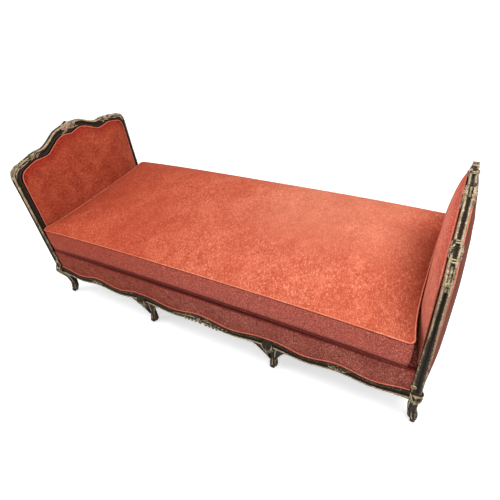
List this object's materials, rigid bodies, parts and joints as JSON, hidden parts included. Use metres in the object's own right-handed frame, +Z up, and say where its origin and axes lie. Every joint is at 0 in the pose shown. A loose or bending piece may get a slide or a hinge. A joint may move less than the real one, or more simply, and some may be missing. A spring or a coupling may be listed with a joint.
{
  "type": "recamier daybed",
  "caption": "Long upholstered daybed with serpentine carved side rails, cabriole legs, two carved and padded ends, one higher than the other, and a loose boxed mattress.",
  "frame": {"origin": "on the floor, midway between the outermost faces of both ends and midway between front and rear", "axes": "+X along the bed towards the lower (foot) end, +Y from the front towards the rear, +Z up"},
  "size_m": [1.9416, 0.7984, 0.8681],
  "materials": {
    "carved_wood": "dark stained wood with worn gilding on the raised edges",
    "beech": "plain unfinished beech",
    "screw_steel": "plain steel",
    "jute": "woven jute webbing",
    "wadding": "hair and cotton wadding",
    "linen": "plain linen",
    "black_cloth": "thin black cloth",
    "coral_velvet": "short cotton velvet, mottled",
    "coral_piping": "velvet-covered cord"
  },
  "bodies": {
    "frame": {"head_crest_rail": "carved_wood", "foot_crest_rail": "carved_wood", "head_front_leg": "carved_wood", "head_rear_leg": "carved_wood", "foot_front_leg": "carved_wood", "foot_rear_leg": "carved_wood", "front_left_mid_leg": "carved_wood", "front_right_mid_leg": "carved_wood", "rear_left_mid_leg": "carved_wood", "rear_right_mid_leg": "carved_wood", "front_rail_left": "carved_wood", "front_rail_centre": "carved_wood", "front_rail_right": "carved_wood", "rear_rail_left": "carved_wood", "rear_rail_centre": "carved_wood", "rear_rail_right": "carved_wood", "head_end_rail": "carved_wood", "foot_end_rail": "carved_wood", "head_stay_rail": "beech", "foot_stay_rail": "beech", "left_cross_rail": "beech", "right_cross_rail": "beech", "corner_blocks": "beech", "corner_block_screws": "screw_steel", "long_webbing": "jute", "cross_webbing": "jute", "deck_pad": "wadding", "deck_cloth": "coral_velvet", "dust_cloth": "black_cloth", "front_border": "coral_velvet", "rear_border": "coral_velvet", "front_border_piping": "coral_piping", "rear_border_piping": "coral_piping", "head_inside_backing": "linen", "foot_inside_backing": "linen", "head_outside_backing": "linen", "foot_outside_backing": "linen", "head_inside_pad": "coral_velvet", "foot_inside_pad": "coral_velvet", "head_outside_pad": "coral_velvet", "foot_outside_pad": "coral_velvet", "head_inside_piping": "coral_piping", "foot_inside_piping": "coral_piping", "head_outside_piping": "coral_piping", "foot_outside_piping": "coral_piping"},
    "mattress": {"mattress_cushion": "coral_velvet", "mattress_top_piping": "coral_piping", "mattress_bottom_piping": "coral_piping"}
  },
  "joints": [
    {"name": "mattress_lift", "type": "slide", "parent": "frame", "child": "mattress", "axis": [0, 0, 1], "range_m": [0, 0.6]}
  ]
}
